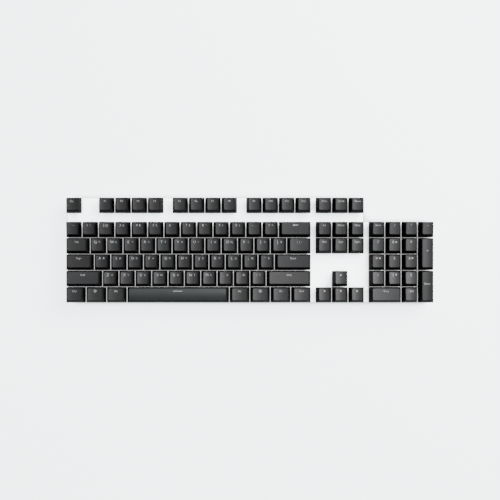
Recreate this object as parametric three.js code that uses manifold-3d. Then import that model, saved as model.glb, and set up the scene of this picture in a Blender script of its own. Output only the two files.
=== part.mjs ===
// A full-size mechanical keyboard whose keycaps hide everything below them. 104 tapered caps
// stand on switches clipped into a steel deck plate. Under the plate are the circuit board and
// a shallow tray of the same outline, with rubber feet and two tilt legs.
// Millimetres. +X is to the typist's right, +Y away from the typist, +Z up. The origin is on
// the desk, under the middle of the keyboard.
import * as THREE from "three";
import { mergeVertices } from "three/addons/utils/BufferGeometryUtils.js";
import Module from "manifold-3d";

const wasm = await Module();
wasm.setup();

// --- Key grid -------------------------------------------------------------------------------
const UNIT = 19.05; // pitch of a one-unit key
const FIELD_UNITS = 22.5; // from the escape key's cell to the number pad's right edge
const CAP_GAP = 0.9; // between neighbouring caps
const FUNCTION_ROW_STEP = 28; // function row's middle behind the number row's middle
const FRONT_ROW_Y = -(4 * UNIT + FUNCTION_ROW_STEP) / 2;
const NUMBER_ROW_Y = FRONT_ROW_Y + 4 * UNIT;

// Each row's middle, its caps' height, and how far the cap tops lean towards the typist.
const ROWS = {
  function: { y: NUMBER_ROW_Y + FUNCTION_ROW_STEP, height: 10.8, lean: 8 },
  number: { y: NUMBER_ROW_Y, height: 10.8, lean: 8 },
  upper: { y: FRONT_ROW_Y + 3 * UNIT, height: 9.6, lean: 4 },
  home: { y: FRONT_ROW_Y + 2 * UNIT, height: 9.0, lean: 0 },
  lower: { y: FRONT_ROW_Y + UNIT, height: 9.2, lean: -4 },
  bottom: { y: FRONT_ROW_Y, height: 9.2, lean: -4 },
};
const TALL_KEY = { height: 9.0, lean: 0 }; // a key two rows deep

// Blocks of keys that travel together: name, row, left edge and widths in key units, and
// how many rows deep the keys are, counted towards the typist.
const BLOCKS = [
  ["key_escape", "function", 0, [1], 1],
  ["keys_f1_to_f4", "function", 2, [1, 1, 1, 1], 1],
  ["keys_f5_to_f8", "function", 6.5, [1, 1, 1, 1], 1],
  ["keys_f9_to_f12", "function", 11, [1, 1, 1, 1], 1],
  ["keys_print_to_pause", "function", 15.25, [1, 1, 1], 1],
  ["keys_grave_to_6", "number", 0, [1, 1, 1, 1, 1, 1, 1], 1],
  ["keys_7_to_equals", "number", 7, [1, 1, 1, 1, 1, 1], 1],
  ["key_backspace", "number", 13, [2], 1],
  ["keys_insert_to_page_up", "number", 15.25, [1, 1, 1], 1],
  ["keys_num_lock_to_minus", "number", 18.5, [1, 1, 1, 1], 1],
  ["key_tab", "upper", 0, [1.5], 1],
  ["keys_q_to_t", "upper", 1.5, [1, 1, 1, 1, 1], 1],
  ["keys_y_to_bracket", "upper", 6.5, [1, 1, 1, 1, 1, 1, 1], 1],
  ["key_backslash", "upper", 13.5, [1.5], 1],
  ["keys_delete_to_page_down", "upper", 15.25, [1, 1, 1], 1],
  ["keys_num_7_to_9", "upper", 18.5, [1, 1, 1], 1],
  ["key_num_plus", "upper", 21.5, [1], 2],
  ["key_caps_lock", "home", 0, [1.75], 1],
  ["keys_a_to_g", "home", 1.75, [1, 1, 1, 1, 1], 1],
  ["keys_h_to_quote", "home", 6.75, [1, 1, 1, 1, 1, 1], 1],
  ["key_enter", "home", 12.75, [2.25], 1],
  ["keys_num_4_to_6", "home", 18.5, [1, 1, 1], 1],
  ["key_left_shift", "lower", 0, [2.25], 1],
  ["keys_z_to_b", "lower", 2.25, [1, 1, 1, 1, 1], 1],
  ["keys_n_to_slash", "lower", 7.25, [1, 1, 1, 1, 1], 1],
  ["key_right_shift", "lower", 12.25, [2.75], 1],
  ["key_up", "lower", 16.25, [1], 1],
  ["keys_num_1_to_3", "lower", 18.5, [1, 1, 1], 1],
  ["key_num_enter", "lower", 21.5, [1], 2],
  ["key_left_ctrl", "bottom", 0, [1.25], 1],
  ["key_left_super", "bottom", 1.25, [1.25], 1],
  ["key_left_alt", "bottom", 2.5, [1.25], 1],
  ["key_space", "bottom", 3.75, [6.25], 1],
  ["key_right_alt", "bottom", 10, [1.25], 1],
  ["key_right_super", "bottom", 11.25, [1.25], 1],
  ["key_menu", "bottom", 12.5, [1.25], 1],
  ["key_right_ctrl", "bottom", 13.75, [1.25], 1],
  ["key_left", "bottom", 15.25, [1], 1],
  ["key_down", "bottom", 16.25, [1], 1],
  ["key_right", "bottom", 17.25, [1], 1],
  ["key_num_0", "bottom", 18.5, [2], 1],
  ["key_num_decimal", "bottom", 20.5, [1], 1],
];

// --- Heights above the desk -----------------------------------------------------------------
const TRAY_UNDERSIDE = 1.5; // the feet's height
const TRAY_FLOOR = 3.5;
const BOARD_BOTTOM = 8;
const BOARD_TOP = 9.6;
const PLATE_BOTTOM = 13.1;
const PLATE_TOP = 14.6;
const SKIRT_BOTTOM = PLATE_TOP + 6; // lower edge of a released cap
const HOUSING_TOP = PLATE_TOP + 6.6;
const WELL_BOTTOM = PLATE_TOP - 1.4;
const TRAVEL = 4;
const SLIDER_BOTTOM = WELL_BOTTOM + TRAVEL + 0.3;

// --- Keycap and slider ----------------------------------------------------------------------
const SIDE_INSET = 2.8; // of the top face from the skirt, each side
const FRONT_INSET = 3;
const REAR_INSET = 0.7;
const CAP_WALL = 1.45;
const CAP_CORNER = 1;
const TOP_WALL = 2.2;
const DISH = { depth: 0.8, slope: 4 }; // the hollow along the top face, from its side edges
const SLIDER = { width: 6.4, depth: 5 };
const STABILISER_STEM = { width: 4, depth: 4 };
const TIE = { overlap: 0.7, depth: 2, height: 1.2 }; // joins the skirts of a block's caps

// --- Switch and stabiliser housings ---------------------------------------------------------
const HOUSING_WIDTH = 13.6;
const HOUSING_TOP_WIDTH = 10.6;
const WELL = { width: 7.2, depth: 5.8 };
const PLATE_HOLE = 14;
const STABILISER = { width: 6.4, depth: 12.4, above_plate: 3.8, well: 4.8 };
const STABILISER_HOLE_GAP = 0.2;
const STABILISER_SPREAD = 11.938; // from the key's middle, on keys of 2 to 2.75 units
const SPACE_STABILISER_SPREAD = 50;
const RAIL = { width: 2, height: 1, y: -4 }; // joins a row's housings, on the circuit board

// --- Deck plate, board and tray -------------------------------------------------------------
const DECK_INSET = 0.4; // of the deck's edge from the caps' outline
const TRAY_WALL = 1.3;
const BOARD_GAP = 0.3; // between the board's edge and the tray's wall
const NOTCH_UNITS = 18.25; // the deck steps forward from here to the right, behind the number pad
const STANDOFF = { radius: 2.5, bore: 1.45, bore_top: 12.2, clearance: 0.5 };
const SCREW = { radius: 1.1, head_radius: 2.4, head: 1, length: 9, recess: 1.2 };
const STANDOFFS = {
  screw_front_left: [keyX(1.25), FRONT_ROW_Y + 3.5],
  screw_front_right: [keyX(18.4), FRONT_ROW_Y + 3.5],
  screw_rear_left: [keyX(1.5), NUMBER_ROW_Y + FUNCTION_ROW_STEP / 2],
  screw_rear_right: [keyX(14.5), NUMBER_ROW_Y + FUNCTION_ROW_STEP / 2],
};
const FOOT = { length: 28, depth: 7 };
const FEET = {
  foot_front_left: [-190, -56],
  foot_front_right: [190, -56],
  foot_rear_left: [-196, 52],
  foot_rear_right: [190, 22],
};
const SOCKET = { x: keyX(1.5), width: 9, height: 3, length: 7.4, wall: 0.35 };
const SOCKET_GAP = 0.4; // around the socket, in the tray's wall

// --- Tilt legs ------------------------------------------------------------------------------
const LEG = { width: 24, length: 16, thickness: 2.6, pin_radius: 1.05, pin: 1.6 };
const LEG_AXIS = { y: 54.2, z: 3.4 };
const LEG_X = { tilt_leg_left: -165, tilt_leg_right: 112 };
const POCKET = { gap: 0.5, wall: 2, top: 5.2, roof: 6.7, rear_gap: 1.9 };
const PIN_HOLE_RADIUS = 1.4;
const ROUND_SEGMENTS = 10;

// --- Materials ------------------------------------------------------------------------------
const MATERIALS = {
  keycap: new THREE.MeshStandardMaterial({ color: 0x2b2c2e, roughness: 0.5, metalness: 0 }),
  plate: new THREE.MeshStandardMaterial({ color: 0xe9ebed, roughness: 0.55, metalness: 0.1 }),
  tray: new THREE.MeshStandardMaterial({ color: 0xe6e8ea, roughness: 0.6, metalness: 0 }),
  board: new THREE.MeshStandardMaterial({ color: 0x20262b, roughness: 0.5, metalness: 0 }),
  housing: new THREE.MeshStandardMaterial({ color: 0xdfe1e3, roughness: 0.35, metalness: 0 }),
  rubber: new THREE.MeshStandardMaterial({ color: 0x3a3b3d, roughness: 0.9, metalness: 0 }),
  steel: new THREE.MeshStandardMaterial({ color: 0xb5b8bb, roughness: 0.3, metalness: 1 }),
};

function keyX(units) {
  return (units - FIELD_UNITS / 2) * UNIT;
}

// --- Solids ---------------------------------------------------------------------------------
function solidOf(geometry) {
  const bare = geometry.clone();
  bare.deleteAttribute("normal");
  bare.deleteAttribute("uv");
  const merged = mergeVertices(bare, 1e-4);
  const vertProperties = new Float32Array(merged.attributes.position.array);
  const triVerts = new Uint32Array(merged.index.array);
  return new wasm.Manifold(new wasm.Mesh({ numProp: 3, vertProperties, triVerts }));
}

function geometryOf(solid) {
  const mesh = solid.getMesh();
  const geometry = new THREE.BufferGeometry();
  geometry.setAttribute("position", new THREE.BufferAttribute(mesh.vertProperties, 3));
  geometry.setIndex(new THREE.BufferAttribute(mesh.triVerts, 1));
  geometry.computeVertexNormals();
  return geometry;
}

const joined = (solids) => solids.reduce((all, next) => all.add(next));
const cut = (solid, tools) => tools.reduce((left, tool) => left.subtract(tool), solid);

// Moves each vertex of a geometry by a function of its place.
function reshaped(geometry, move) {
  const positions = geometry.getAttribute("position");
  const v = new THREE.Vector3();
  for (let i = 0; i < positions.count; i++) {
    move(v.fromBufferAttribute(positions, i));
    positions.setXYZ(i, v.x, v.y, v.z);
  }
  return geometry;
}

// A block whose rectangular section changes evenly from its lower end to its upper end.
function frustum(lower, upper) {
  const unit = new THREE.BoxGeometry(1, 1, 1);
  const place = (v) => {
    const end = v.z < 0 ? lower : upper;
    v.set(v.x < 0 ? end.x0 : end.x1, v.y < 0 ? end.y0 : end.y1, end.z);
  };
  return solidOf(reshaped(unit, place));
}

function block(x, y, width, depth, z0, z1) {
  const end = { x0: x - width / 2, x1: x + width / 2, y0: y - depth / 2, y1: y + depth / 2 };
  return frustum({ ...end, z: z0 }, { ...end, z: z1 });
}

function extruded(shape, z0, z1) {
  const options = { depth: z1 - z0, bevelEnabled: false, curveSegments: ROUND_SEGMENTS };
  return solidOf(new THREE.ExtrudeGeometry(shape, options).translate(0, 0, z0));
}

function upright(x, y, radius, z0, z1) {
  const rod = new THREE.CylinderGeometry(radius, radius, z1 - z0, ROUND_SEGMENTS);
  return solidOf(rod.rotateX(Math.PI / 2).translate(x, y, (z0 + z1) / 2));
}

function cross(x, y, z, radius, length) {
  const rod = new THREE.CylinderGeometry(radius, radius, length, ROUND_SEGMENTS);
  return solidOf(rod.rotateZ(Math.PI / 2).translate(x, y, z));
}

// The corners of a rectangle whose own corners are cut off.
function rectangle(x, y, width, depth, corner) {
  const [w, d] = [width / 2, depth / 2];
  const points = [
    [corner - w, -d],
    [w - corner, -d],
    [w, corner - d],
    [w, d - corner],
    [w - corner, d],
    [corner - w, d],
    [-w, d - corner],
    [-w, corner - d],
  ];
  return points.map(([px, py]) => new THREE.Vector2(x + px, y + py));
}

// --- The keys -------------------------------------------------------------------------------
// Every key with its cell's middle, its cap's size and how its stabiliser stems are spread.
function keysOf([, rowName, left, widths, rowsDeep]) {
  const row = ROWS[rowName];
  const profile = rowsDeep > 1 ? TALL_KEY : row;
  let edge = left;
  return widths.map((units) => {
    const middle = edge + units / 2;
    edge += units;
    const size = Math.max(units, rowsDeep);
    return {
      x: keyX(middle),
      y: row.y - ((rowsDeep - 1) * UNIT) / 2,
      width: units * UNIT - CAP_GAP,
      depth: rowsDeep * UNIT - CAP_GAP,
      profile,
      spread: size < 2 ? 0 : size > 6 ? SPACE_STABILISER_SPREAD : STABILISER_SPREAD,
      alongY: rowsDeep > 1,
    };
  });
}

// The two places of a wide key's stabilisers.
function stabilisersOf({ x, y, spread, alongY }) {
  if (!spread) return [];
  return [-1, 1].map((side) =>
    alongY ? { x, y: y + side * spread, alongY } : { x: x + side * spread, y, alongY },
  );
}

// The cap's outside at a height: it narrows evenly from the skirt to the top face.
function capSection({ x, y, width, depth, profile }, height, wall) {
  const share = height / profile.height;
  return {
    x0: x - width / 2 + share * SIDE_INSET + wall,
    x1: x + width / 2 - share * SIDE_INSET - wall,
    y0: y - depth / 2 + share * FRONT_INSET + wall,
    y1: y + depth / 2 - share * REAR_INSET - wall,
    z: SKIRT_BOTTOM + height,
  };
}

// A block with cut corners that narrows upwards as a cap does.
function capBlank(key, height) {
  const outline = new THREE.Shape(rectangle(0, 0, key.width, key.depth, CAP_CORNER));
  const ends = [capSection(key, 0, 0), capSection(key, height, 0)];
  const place = (v) => {
    const { x0, x1, y0, y1, z } = ends[v.z < height / 2 ? 0 : 1];
    const across = v.x / key.width + 0.5;
    const along = v.y / key.depth + 0.5;
    v.set(x0 + across * (x1 - x0), y0 + along * (y1 - y0), z);
  };
  const options = { depth: height, bevelEnabled: false };
  return solidOf(reshaped(new THREE.ExtrudeGeometry(outline, options), place));
}

// Everything above a cap's top face: a leaning slab, with the finger's hollow hanging from it.
function aboveTop(key, top, leanAngle) {
  const { depth, slope } = DISH;
  const edge = (top.x1 - top.x0) / 2;
  const flat = [
    [-edge - slope, 0],
    [edge + slope, 0],
  ];
  const hollow = [
    [-edge - slope, depth],
    [slope - edge, -depth],
    [edge - slope, -depth],
    [edge + slope, depth],
  ];
  const section = [
    [-edge - slope, key.depth],
    ...(key.spread === SPACE_STABILISER_SPREAD ? flat : hollow),
    [edge + slope, key.depth],
  ].map(([px, pz]) => new THREE.Vector2(px, pz));
  const options = { depth: 2 * key.depth, bevelEnabled: false };
  const tool = new THREE.ExtrudeGeometry(new THREE.Shape(section), options)
    .translate(0, 0, -key.depth)
    .rotateX(Math.PI / 2 + leanAngle)
    .translate(key.x, (top.y0 + top.y1) / 2, top.z);
  return solidOf(tool);
}

function cap(key) {
  const { profile } = key;
  const leanAngle = THREE.MathUtils.degToRad(profile.lean);
  const top = capSection(key, profile.height, 0);
  const drop = ((top.y1 - top.y0) / 2) * Math.abs(Math.tan(leanAngle)); // of its lower edge
  const ceiling = profile.height - TOP_WALL - drop;
  const inside = frustum(capSection(key, -1, CAP_WALL), capSection(key, ceiling, CAP_WALL));
  const blank = capBlank(key, profile.height + drop + 1);
  const shell = cut(blank, [aboveTop(key, top, leanAngle), inside]);
  const stem = (at, { width, depth }) =>
    block(at.x, at.y, width, depth, SLIDER_BOTTOM, SKIRT_BOTTOM + ceiling + TOP_WALL / 4);
  const stems = stabilisersOf(key).map((at) => stem(at, STABILISER_STEM));
  return joined([shell, stem(key, SLIDER), ...stems]);
}

function tie(left, right) {
  const x = (left.x + left.width / 2 + right.x - right.width / 2) / 2;
  const length = CAP_GAP + 2 * TIE.overlap;
  return block(x, left.y, length, TIE.depth, SKIRT_BOTTOM, SKIRT_BOTTOM + TIE.height);
}

function keyBlock(keys) {
  const ties = keys.slice(1).map((key, i) => tie(keys[i], key));
  return joined([...keys.map(cap), ...ties]);
}

// --- The switches' housings -----------------------------------------------------------------
function switchHousing({ x, y }) {
  const around = (width, z) => ({
    x0: x - width / 2,
    x1: x + width / 2,
    y0: y - width / 2,
    y1: y + width / 2,
    z,
  });
  const base = around(HOUSING_WIDTH, PLATE_TOP);
  const lower = frustum(around(HOUSING_WIDTH, BOARD_TOP), base);
  const upper = frustum(base, around(HOUSING_TOP_WIDTH, HOUSING_TOP));
  const well = block(x, y, WELL.width, WELL.depth, WELL_BOTTOM, HOUSING_TOP + 1);
  return lower.add(upper).subtract(well);
}

function stabiliserHousing({ x, y, alongY }) {
  const { width, depth, above_plate, well } = STABILISER;
  const [w, d] = alongY ? [depth, width] : [width, depth];
  const top = PLATE_TOP + above_plate;
  return block(x, y, w, d, BOARD_TOP, top).subtract(block(x, y, well, well, WELL_BOTTOM, top + 1));
}

// The housings of some blocks, joined on the board by a rail along each row, one along each
// two-row key's stabilisers, and a tie bar across the rows.
function housings(blocks, tieUnits) {
  const rail = (x0, x1, y0, y1) =>
    block(
      (x0 + x1) / 2,
      (y0 + y1) / 2,
      x1 - x0 + RAIL.width,
      y1 - y0 + RAIL.width,
      BOARD_TOP,
      BOARD_TOP + RAIL.height,
    );
  const tieX = keyX(tieUnits);
  const rows = [...Map.groupBy(blocks, ([, row]) => row)];
  const rails = rows.map(([row, inRow]) => {
    const places = inRow.flatMap(keysOf).flatMap((key) => [key, ...stabilisersOf(key)]);
    const xs = [tieX, ...places.map(({ x }) => x)];
    const y = ROWS[row].y + RAIL.y;
    return rail(Math.min(...xs), Math.max(...xs), y, y);
  });
  const ys = rows.map(([row]) => ROWS[row].y + RAIL.y);
  rails.push(rail(tieX, tieX, Math.min(...ys), Math.max(...ys)));
  const keys = blocks.flatMap(keysOf);
  for (const { x, y, spread, alongY } of keys)
    if (alongY) rails.push(rail(x, x, y - spread, y + spread));
  const stabilisers = keys.flatMap(stabilisersOf).map(stabiliserHousing);
  return joined([...rails, ...keys.map(switchHousing), ...stabilisers]);
}

// --- Deck plate, board and tray -------------------------------------------------------------
// The outline shared by plate, board and tray, moved inwards from the caps' edges.
function deckOutline(inset) {
  const halfCap = (UNIT - CAP_GAP) / 2;
  const edge = (units) => keyX(units) + CAP_GAP / 2;
  const [left, right] = [edge(0) + inset, -edge(0) - inset];
  const step = keyX(NOTCH_UNITS) - CAP_GAP / 2 - inset;
  const front = ROWS.bottom.y - halfCap + inset;
  const [padRear, rear] = [ROWS.number, ROWS.function].map(({ y }) => y + halfCap - inset);
  const corners = [
    [left, front],
    [right, front],
    [right, padRear],
    [step, padRear],
    [step, rear],
    [left, rear],
  ];
  return new THREE.Shape(corners.map(([x, y]) => new THREE.Vector2(x, y)));
}

function switchPlate(keys) {
  const hole = (x, y, width, depth) => block(x, y, width, depth, PLATE_BOTTOM - 1, PLATE_TOP + 1);
  const switchHoles = keys.map(({ x, y }) => hole(x, y, PLATE_HOLE, PLATE_HOLE));
  const stabiliserHoles = keys.flatMap(stabilisersOf).map(({ x, y, alongY }) => {
    const [w, d] = [STABILISER.width, STABILISER.depth].map((s) => s + 2 * STABILISER_HOLE_GAP);
    return alongY ? hole(x, y, d, w) : hole(x, y, w, d);
  });
  const plate = extruded(deckOutline(DECK_INSET), PLATE_BOTTOM, PLATE_TOP);
  const places = Object.values(STANDOFFS);
  const posts = places.map(([x, y]) =>
    upright(x, y, STANDOFF.radius, TRAY_FLOOR + 0.3, PLATE_BOTTOM + 0.5),
  );
  const bores = places.map(([x, y]) => upright(x, y, STANDOFF.bore, 0, STANDOFF.bore_top));
  return cut(joined([cut(plate, [...switchHoles, ...stabiliserHoles]), ...posts]), bores);
}

function circuitBoard() {
  const outline = deckOutline(DECK_INSET + TRAY_WALL + BOARD_GAP);
  const radius = STANDOFF.radius + STANDOFF.clearance;
  const holes = Object.values(STANDOFFS).map(([x, y]) => upright(x, y, radius, 0, PLATE_TOP));
  return cut(extruded(outline, BOARD_BOTTOM, BOARD_TOP), holes);
}

// What a leg's pocket takes out of the tray, and the box around it inside the tray.
function legPocket(x) {
  const { gap, wall, top, roof, rear_gap } = POCKET;
  const [rear, front] = [LEG_AXIS.y + rear_gap, LEG_AXIS.y - LEG.length - gap];
  const [y, depth, width] = [(rear + front) / 2, rear - front, LEG.width + 2 * gap];
  const box = block(x, y, width + 2 * wall, depth + 2 * wall, TRAY_UNDERSIDE, roof);
  const hollow = block(x, y, width, depth, 0, top);
  const pinHoles = cross(x, LEG_AXIS.y, LEG_AXIS.z, PIN_HOLE_RADIUS, width + 3 * wall);
  return { box, hollow, pinHoles };
}

function baseTray() {
  const shell = extruded(deckOutline(DECK_INSET), TRAY_UNDERSIDE, PLATE_BOTTOM);
  const inside = extruded(deckOutline(DECK_INSET + TRAY_WALL), TRAY_FLOOR, PLATE_TOP);
  const pockets = Object.values(LEG_X).map(legPocket);
  const tray = joined([shell.subtract(inside), ...pockets.map(({ box }) => box)]);
  const counterbores = Object.values(STANDOFFS).flatMap(([x, y]) => [
    upright(x, y, SCREW.head_radius + 0.3, 0, TRAY_UNDERSIDE + SCREW.recess),
    upright(x, y, SCREW.radius + 0.4, 0, TRAY_FLOOR + 1),
  ]);
  const wallMiddle = ROWS.function.y + (UNIT - CAP_GAP) / 2 - DECK_INSET - TRAY_WALL / 2;
  const socketWidth = SOCKET.width + 2 * SOCKET_GAP;
  const slot = block(SOCKET.x, wallMiddle, socketWidth, 3 * TRAY_WALL, BOARD_TOP - 0.3, PLATE_TOP);
  const hollows = pockets.flatMap(({ hollow, pinHoles }) => [hollow, pinHoles]);
  return cut(tray, [...hollows, ...counterbores, slot]);
}

function screw([x, y]) {
  const headBottom = TRAY_UNDERSIDE + 0.1;
  const headTop = headBottom + SCREW.head;
  const head = upright(x, y, SCREW.head_radius, headBottom, headTop);
  return head.add(upright(x, y, SCREW.radius, headTop - 0.2, headBottom + SCREW.length));
}

function rubberFoot([x, y]) {
  const outline = new THREE.Shape(rectangle(x, y, FOOT.length, FOOT.depth, 1.5));
  return extruded(outline, 0, TRAY_UNDERSIDE);
}

// The cable socket on the board: a shell open to the rear, with a contact tongue in its mouth.
function cableSocket() {
  const { x, width, height, length, wall } = SOCKET;
  const rear = ROWS.function.y + (UNIT - CAP_GAP) / 2 - DECK_INSET - 0.1;
  const [y, z, middle] = [rear - length / 2, BOARD_TOP, BOARD_TOP + height / 2];
  const shell = block(x, y, width, length, z, z + height);
  const mouth = block(x, y + wall, width - 2 * wall, length, z + wall, z + height - wall);
  const tongue = block(x, y - 1, width - 2.2, length - 2, middle - 0.35, middle + 0.35);
  return shell.subtract(mouth).add(tongue);
}

// A leg folded flat into its pocket: a blade with a round heel about its pins.
function tiltLeg(x) {
  const radius = LEG.thickness / 2;
  const side = new THREE.Shape();
  side.moveTo(-LEG.length, -radius);
  side.lineTo(0, -radius);
  side.absarc(0, 0, radius, -Math.PI / 2, Math.PI / 2, false);
  side.lineTo(-LEG.length + 1, radius);
  side.lineTo(-LEG.length, radius - 1);
  const options = { depth: LEG.width, bevelEnabled: false, curveSegments: ROUND_SEGMENTS / 2 };
  const blade = new THREE.ExtrudeGeometry(side, options)
    .rotateX(Math.PI / 2)
    .rotateZ(Math.PI / 2)
    .translate(x - LEG.width / 2, LEG_AXIS.y, LEG_AXIS.z);
  const pins = cross(x, LEG_AXIS.y, LEG_AXIS.z, LEG.pin_radius, LEG.width + 2 * LEG.pin);
  return solidOf(blade).add(pins);
}

// --- Assembly -------------------------------------------------------------------------------
const keyboard = new THREE.Group();

function addPiece(name, solid, material) {
  const mesh = new THREE.Mesh(geometryOf(solid), material);
  mesh.name = name;
  keyboard.add(mesh);
}

const inCluster = {
  function: ([, row]) => row === "function",
  main: ([, row, left]) => row !== "function" && left < 15,
  navigation: ([, row, left]) => row !== "function" && left > 15 && left < 18,
  number_pad: ([, row, left]) => row !== "function" && left > 18,
};
const CLUSTER_TIES = { function: 0.5, main: 0.8, navigation: 16.75, number_pad: 19.25 };

addPiece("base_tray", baseTray(), MATERIALS.tray);
addPiece("circuit_board", circuitBoard(), MATERIALS.board);
addPiece("cable_socket", cableSocket(), MATERIALS.steel);
addPiece("switch_plate", switchPlate(BLOCKS.flatMap(keysOf)), MATERIALS.plate);
for (const [name, belongs] of Object.entries(inCluster))
  addPiece(
    `switch_housings_${name}`,
    housings(BLOCKS.filter(belongs), CLUSTER_TIES[name]),
    MATERIALS.housing,
  );
for (const [name, place] of Object.entries(FEET))
  addPiece(name, rubberFoot(place), MATERIALS.rubber);
for (const [name, place] of Object.entries(STANDOFFS))
  addPiece(name, screw(place), MATERIALS.steel);
for (const [name, x] of Object.entries(LEG_X)) addPiece(name, tiltLeg(x), MATERIALS.tray);
for (const keys of BLOCKS) addPiece(keys[0], keyBlock(keysOf(keys)), MATERIALS.keycap);

export default keyboard;
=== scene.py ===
"""Looks of a full-size mechanical keyboard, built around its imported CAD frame."""
import math
import random

import bmesh
import bpy
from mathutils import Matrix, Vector


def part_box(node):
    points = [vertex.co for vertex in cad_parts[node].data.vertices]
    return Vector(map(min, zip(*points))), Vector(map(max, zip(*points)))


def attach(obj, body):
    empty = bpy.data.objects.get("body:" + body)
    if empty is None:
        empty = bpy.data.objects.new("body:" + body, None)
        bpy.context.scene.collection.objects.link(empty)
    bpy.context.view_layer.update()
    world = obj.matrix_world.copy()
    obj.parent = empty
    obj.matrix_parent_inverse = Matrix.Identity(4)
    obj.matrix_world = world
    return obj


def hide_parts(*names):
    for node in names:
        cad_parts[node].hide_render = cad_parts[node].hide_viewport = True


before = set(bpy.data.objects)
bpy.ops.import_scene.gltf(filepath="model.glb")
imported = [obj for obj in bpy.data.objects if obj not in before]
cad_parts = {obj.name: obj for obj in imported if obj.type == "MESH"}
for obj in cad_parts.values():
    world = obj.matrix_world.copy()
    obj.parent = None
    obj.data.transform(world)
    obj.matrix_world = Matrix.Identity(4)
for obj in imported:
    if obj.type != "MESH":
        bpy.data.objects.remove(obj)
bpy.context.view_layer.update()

MM = 0.001
UNIT = 19.05  # pitch of a one-unit key; every length in this file is in mm unless it says metres
GAP = 0.9  # between neighbouring caps

# By row: cap height above its skirt, the lean of its top face, a painted lightening or darkening of
# its caps for how light falls on that row, how far the legend's middle lies behind the key's middle,
# and how polished the top is.
PROFILES = {
    "function": (10.8, 8.0, 1.03, 4.5, 1.0),
    "number": (10.8, 8.0, 1.05, 4.8, 1.0),
    "upper": (9.6, 4.0, 1.03, 4.6, 1.0),
    "home": (9.0, 0.0, 1.0, 4.8, 0.6),
    "lower": (9.2, -4.0, 1.14, 4.6, 0.8),
    "bottom": (9.2, -4.0, 1.05, 4.9, 0.75),
    "tall": (9.0, 0.0, 0.84, 4.0, 0.6),
}
SIDE_INSET, FRONT_INSET, REAR_INSET = 2.8, 3.0, 0.7
DISH = 1.0  # depth of the finger's hollow
STABILISER_REACH = 11.938  # from a wide key's middle to its stabiliser stems
SPACE_STABILISER_REACH = 50
SPACE_CROWN = 1.8  # the space bar's front and rear edges below its middle

# Bodies of keys: profile, widths in units, and each key's legends. "A~B" prints a large letter
# left of a small one, "A^B" two marks of one size, and a name in < > draws a mark.
BLOCKS = {
    "key_escape": ("function", [1], ["Esc"]),
    "keys_f1_to_f4": ("function", [1] * 4, ["F1", "F2", "F3", "F4"]),
    "keys_f5_to_f8": ("function", [1] * 4, ["F5", "F6", "F7", "F8"]),
    "keys_f9_to_f12": ("function", [1] * 4, ["F9", "F10", "F11", "F12"]),
    "keys_print_to_pause": ("function", [1] * 3, ["Print", "Scroll", "Pause"]),
    "keys_grave_to_6": ("number", [1] * 7, ["`^~", "1^!", "2^@", "3^#", "4^$", "5^%", "6^\u02c6"]),
    "keys_7_to_equals": ("number", [1] * 6, ["7^&", "8^*", "9^(", "0^)", "-^_", "=^+"]),
    "key_backspace": ("number", [2], ["<back>"]),
    "keys_insert_to_page_up": ("number", [1] * 3, ["Ins", "Home", "PgUp"]),
    "keys_num_lock_to_minus": ("number", [1] * 4, ["Num", "/", "*", "-"]),
    "key_tab": ("upper", [1.5], ["Tab"]),
    "keys_q_to_t": ("upper", [1] * 5, ["Q~\u0419", "W~\u0426", "E~\u0423", "R~\u041a", "T~\u0415"]),
    "keys_y_to_bracket": (
        "upper",
        [1] * 7,
        ["Y~\u041d", "U~\u0413", "I~\u0428", "O~\u0429", "P~\u0417", "[~\u0425", "]~\u042a"],
    ),
    "key_backslash": ("upper", [1.5], ["\\^|^/"]),
    "keys_delete_to_page_down": ("upper", [1] * 3, ["Del", "End", "PgDn"]),
    "keys_num_7_to_9": ("upper", [1] * 3, ["7", "8^<up>", "9"]),
    "key_num_plus": ("tall", [1], ["+"]),
    "key_caps_lock": ("home", [1.75], ["Caps"]),
    "keys_a_to_g": ("home", [1] * 5, ["A~\u0424", "S~\u042b", "D~\u0412", "F~\u0410", "G~\u041f"]),
    "keys_h_to_quote": (
        "home",
        [1] * 6,
        ["H~\u0420", "J~\u041e", "K~\u041b", "L~\u0414", ";~\u0416", "'~\u042d"],
    ),
    "key_enter": ("home", [2.25], ["Enter"]),
    "keys_num_4_to_6": ("home", [1] * 3, ["4^<left>", "5", "6^<right>"]),
    "key_left_shift": ("lower", [2.25], ["Shift"]),
    "keys_z_to_b": ("lower", [1] * 5, ["Z~\u042f", "X~\u0427", "C~\u0421", "V~\u041c", "B~\u0418"]),
    "keys_n_to_slash": ("lower", [1] * 5, ["N~\u0422", "M~\u042c", ",~\u0411", ".~\u042e", "/^?"]),
    "key_right_shift": ("lower", [2.75], ["Shift"]),
    "key_up": ("lower", [1], ["<up>"]),
    "keys_num_1_to_3": ("lower", [1] * 3, ["1", "2^<down>", "3"]),
    "key_num_enter": ("tall", [1], ["Enter"]),
    "key_left_ctrl": ("bottom", [1.25], ["Ctrl"]),
    "key_left_super": ("bottom", [1.25], ["<super>"]),
    "key_left_alt": ("bottom", [1.25], ["Alt"]),
    "key_space": ("bottom", [6.25], ["<bar>"]),
    "key_right_alt": ("bottom", [1.25], ["Alt"]),
    "key_right_super": ("bottom", [1.25], ["<super>"]),
    "key_menu": ("bottom", [1.25], ["Fn"]),
    "key_right_ctrl": ("bottom", [1.25], ["Ctrl"]),
    "key_left": ("bottom", [1], ["<left>"]),
    "key_down": ("bottom", [1], ["<down>"]),
    "key_right": ("bottom", [1], ["<right>"]),
    "key_num_0": ("bottom", [2], ["0 Ins"]),
    "key_num_decimal": ("bottom", [1], [". Del"]),
}

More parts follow.
